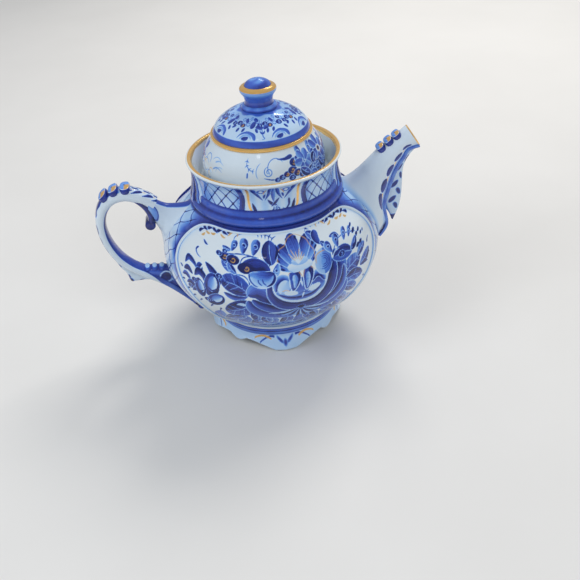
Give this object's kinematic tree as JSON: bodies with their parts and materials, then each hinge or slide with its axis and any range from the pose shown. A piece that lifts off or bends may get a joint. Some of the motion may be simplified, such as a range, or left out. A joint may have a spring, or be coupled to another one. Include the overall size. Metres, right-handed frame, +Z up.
{
  "type": "porcelain teapot",
  "caption": "White porcelain teapot with cobalt flower painting, gilt lines, a scroll handle, a long spout, scalloped feet and a domed lid that lifts off.",
  "frame": {"origin": "on the pot's own axis, on the plane that the four feet stand on", "axes": "+Z up along the pot's axis, +X towards the spout, -X towards the handle, -Y towards the front painted panel"},
  "size_m": [0.2035, 0.1384, 0.1665],
  "materials": {
    "porcelain": "gloss",
    "cobalt": "gloss",
    "pale_blue": "gloss",
    "gilt": "gloss",
    "bisque": "matte"
  },
  "bodies": {
    "pot": {"body_bowl": "porcelain", "body_shoulder": "porcelain", "neck_collar": "porcelain", "neck_moulding": "cobalt", "panel_frame_front": "porcelain", "panel_frame_back": "porcelain", "neck_leaf_handle": "cobalt", "neck_leaf_spout": "cobalt", "foot_moulding": "cobalt", "foot_skirt": "pale_blue", "foot_pad_1": "bisque", "foot_pad_2": "bisque", "foot_pad_3": "bisque", "foot_pad_4": "bisque", "spout_tube": "porcelain", "spout_keel": "porcelain", "spout_scroll_front": "pale_blue", "spout_scroll_back": "pale_blue", "spout_bead_1": "cobalt", "spout_bead_2": "cobalt", "spout_bead_3": "cobalt", "handle_stem": "porcelain", "handle_strap": "porcelain", "handle_root": "cobalt", "handle_scroll": "cobalt", "handle_spur": "porcelain", "handle_bead_1": "cobalt", "handle_bead_2": "cobalt", "handle_bead_3": "cobalt", "handle_drops": "pale_blue", "handle_tail_bead": "cobalt"},
    "lid": {"lid_bell": "porcelain", "lid_dome": "pale_blue", "lid_girdle": "gilt", "lid_flange": "porcelain", "knob_foot": "cobalt", "knob_stem": "cobalt", "knob_ring": "gilt", "knob_cap": "cobalt"}
  },
  "joints": [
    {"name": "lid_lift", "type": "slide", "parent": "pot", "child": "lid", "axis": [0, 0, 1], "range_m": [0, 0.06]}
  ]
}
